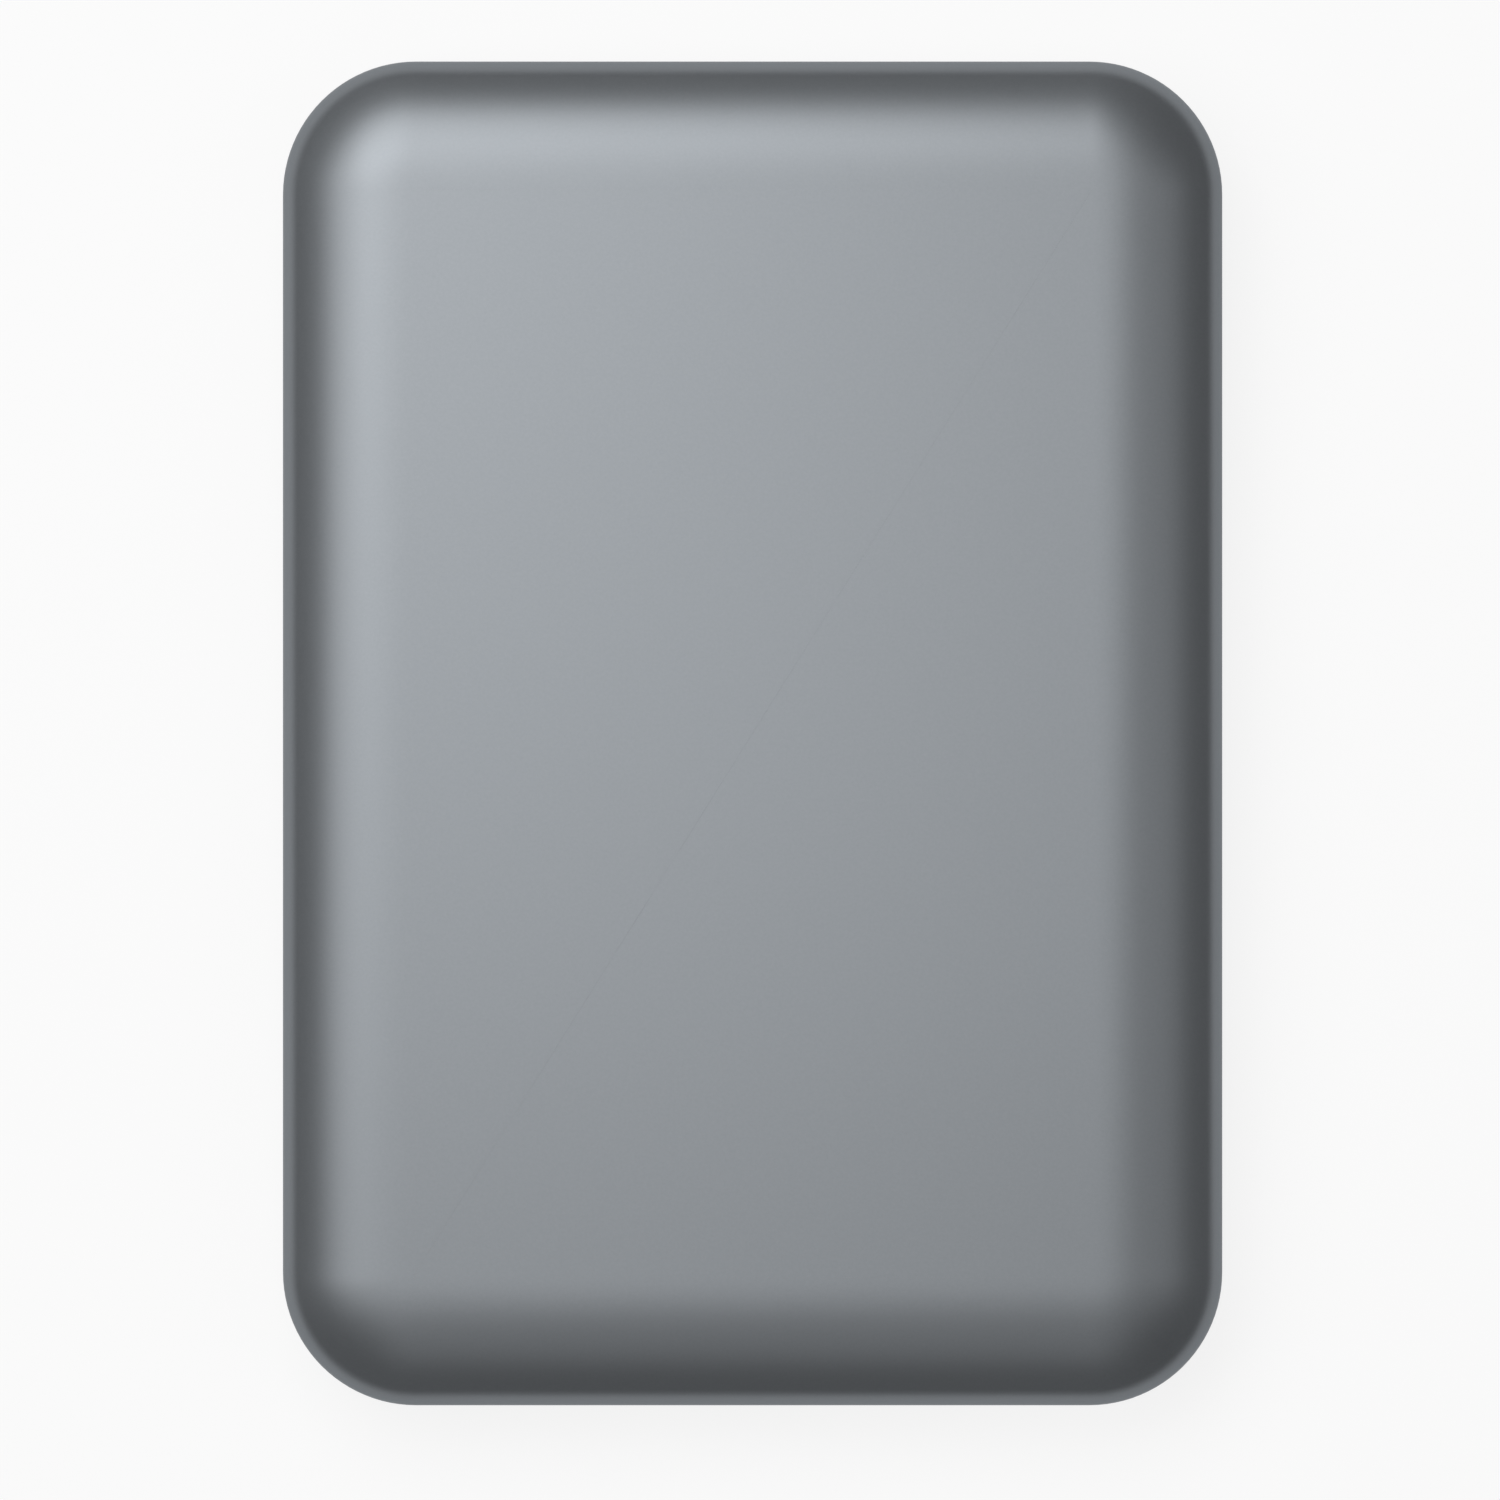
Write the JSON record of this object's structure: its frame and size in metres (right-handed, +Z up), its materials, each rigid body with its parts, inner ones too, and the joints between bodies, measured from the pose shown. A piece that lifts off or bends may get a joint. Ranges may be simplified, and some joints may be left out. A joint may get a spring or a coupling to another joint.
{
  "type": "portable external hard drive",
  "caption": "Slim external hard drive in a satin case with pillow edges and rounded corners, a data port in one end and, inside, a disc drive with a spinning platter and a swinging arm.",
  "frame": {"origin": "middle of the footprint, on the plane of the rubber feet", "axes": "+X across the width, +Y along the length towards the end with the port, +Z up from the feet to the top of the case"},
  "size_m": [0.0804, 0.115, 0.0148],
  "materials": {
    "satin_case": "satin blue-grey paint with a fine even grain",
    "tray_plastic": "fine moulded texture",
    "black_rubber": "matt",
    "light_pipe_plastic": "clear, polished",
    "foil": "rolled foil",
    "circuit_board": "solder mask",
    "chip_epoxy": "moulded epoxy",
    "capacitor_ceramic": "fired",
    "led_resin": "clear resin",
    "port_steel": "tin plated",
    "connector_plastic": "moulded",
    "gold_contacts": "gold plated",
    "cast_aluminium": "die cast with a dull coat",
    "cover_steel": "stamped stainless sheet",
    "insulating_film": "thin film",
    "bearing_bronze": "sintered",
    "motor_steel": "ground",
    "copper_wire": "enamelled copper wire",
    "turned_aluminium": "machined",
    "bonded_magnet": "resin bonded",
    "disc_mirror": "polished magnetic coating on glass",
    "plated_steel": "nickel plated",
    "plated_magnet": "nickel plated",
    "ramp_plastic": "slick moulding",
    "filter_felt": "felt",
    "spring_steel": "etched sheet",
    "slider_ceramic": "lapped",
    "flex_film": "amber polyimide film"
  },
  "bodies": {
    "case": {"top_shell": "satin_case", "bottom_shell": "tray_plastic", "rubber_feet": "black_rubber", "bumper_rear_left": "black_rubber", "bumper_rear_right": "black_rubber", "bumper_front_left": "black_rubber", "bumper_front_right": "black_rubber", "light_pipe": "light_pipe_plastic", "shield_foil": "foil", "bridge_board": "circuit_board", "bridge_chip": "chip_epoxy", "bridge_parts": "capacitor_ceramic", "status_led": "led_resin", "usb_receptacle": "port_steel", "usb_tongue": "connector_plastic", "usb_contacts": "gold_contacts", "sata_socket": "connector_plastic", "base_casting": "cast_aluminium", "drive_cover": "cover_steel", "cover_gasket": "black_rubber", "controller_board": "circuit_board", "main_chip": "chip_epoxy", "memory_chip": "chip_epoxy", "motor_chip": "chip_epoxy", "board_insulator": "insulating_film", "sata_plug": "connector_plastic", "spindle_sleeve": "bearing_bronze", "stator_core": "motor_steel", "stator_coils": "copper_wire", "pivot_post": "motor_steel", "lower_yoke": "plated_steel", "upper_yoke": "plated_steel", "lower_magnet": "plated_magnet", "upper_magnet": "plated_magnet", "yoke_posts": "plated_steel", "crash_stops": "black_rubber", "load_ramp": "ramp_plastic", "flex_bracket": "connector_plastic", "recirculation_filter": "filter_felt", "head_flex": "flex_film"},
    "spindle": {"spindle_hub": "turned_aluminium", "rotor_magnet": "bonded_magnet", "platter": "disc_mirror", "disc_clamp": "motor_steel"},
    "actuator": {"actuator_arm": "turned_aluminium", "pivot_sleeve": "motor_steel", "voice_coil": "copper_wire", "lower_suspension": "spring_steel", "upper_suspension": "spring_steel", "lower_slider": "slider_ceramic", "upper_slider": "slider_ceramic"}
  },
  "joints": [
    {"name": "spindle_spin", "type": "hinge", "parent": "case", "child": "spindle", "pos_m": [0, -0.0174, 0.0062], "axis": [0, 0, 1], "continuous": true},
    {"name": "actuator_swing", "type": "hinge", "parent": "case", "child": "actuator", "pos_m": [0.0135, 0.0211, 0.0072], "axis": [0, 0, 1], "range_deg": [0, 33], "deforming": ["head_flex"]}
  ]
}
